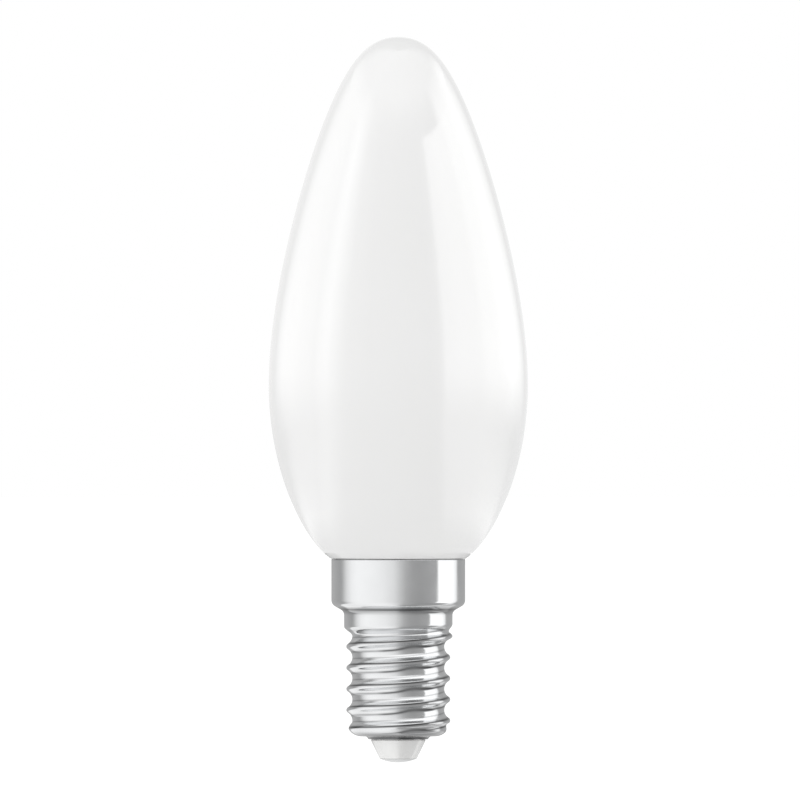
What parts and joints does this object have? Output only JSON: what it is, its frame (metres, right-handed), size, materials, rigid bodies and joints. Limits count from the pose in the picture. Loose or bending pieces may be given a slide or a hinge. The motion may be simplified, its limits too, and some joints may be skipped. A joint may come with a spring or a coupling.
{
  "type": "candle bulb",
  "caption": "Opal glass candle lamp on a nickel-plated E14 screw cap with a white moulded insulator and a domed centre contact; it screws into a small lampholder.",
  "frame": {"origin": "Tip of the centre contact, on the lamp's axis.", "axes": "+Z runs along the axis from the centre contact to the tip of the glass; -Y is the side that faces the picture's camera and +X is its right."},
  "size_m": [0.0346, 0.0346, 0.097],
  "materials": {
    "opal_glass": "opal white, glossy",
    "nickel_plate": "bright nickel plate on formed brass",
    "white_moulding": "moulded, glossy",
    "tinned_contact": "tinned brass",
    "capping_cement": "cured cement",
    "board_laminate": "glass-epoxy laminate with white mask",
    "capacitor_sleeve": "shrunk sleeve",
    "moulded_epoxy": "moulded epoxy",
    "resistor_coating": "flameproof lacquer",
    "tinned_wire": "tinned copper"
  },
  "bodies": {
    "root": {"glass_envelope": "opal_glass", "cap_shell": "nickel_plate", "insulator": "white_moulding", "centre_contact": "tinned_contact", "capping_cement": "capping_cement", "driver_board": "board_laminate", "smoothing_capacitor": "capacitor_sleeve", "bridge_rectifier": "moulded_epoxy", "current_regulator": "moulded_epoxy", "fuse_resistor": "resistor_coating", "shell_lead": "tinned_wire", "led_lead_left": "tinned_wire", "led_lead_right": "tinned_wire"}
  },
  "joints": []
}
